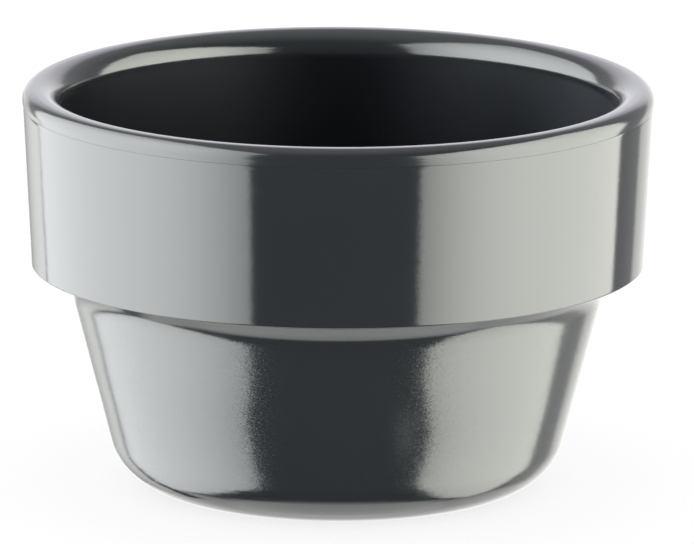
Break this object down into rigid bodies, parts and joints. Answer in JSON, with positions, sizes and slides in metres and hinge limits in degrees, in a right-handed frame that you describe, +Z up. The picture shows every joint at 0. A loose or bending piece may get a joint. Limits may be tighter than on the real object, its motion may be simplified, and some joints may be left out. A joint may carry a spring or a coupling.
{
  "type": "sauce dish",
  "caption": "Round stacking sauce dish in dark gloss melamine: tapered lower body, wide upper band over a stacking shoulder, rounded rim and a satin lining.",
  "frame": {"origin": "middle of the foot ring, on the table", "axes": "+Z up along the axis of the dish, out of its mouth; X and Y are alike"},
  "size_m": [0.08, 0.08, 0.0512],
  "materials": {
    "body_gloss": "moulded gloss melamine, dark slate grey, with fine turning marks",
    "lining_satin": "melamine, polished on the rim and satin inside, dark slate grey"
  },
  "bodies": {
    "root": {"outer_body": "body_gloss", "inner_lining": "lining_satin"}
  },
  "joints": []
}
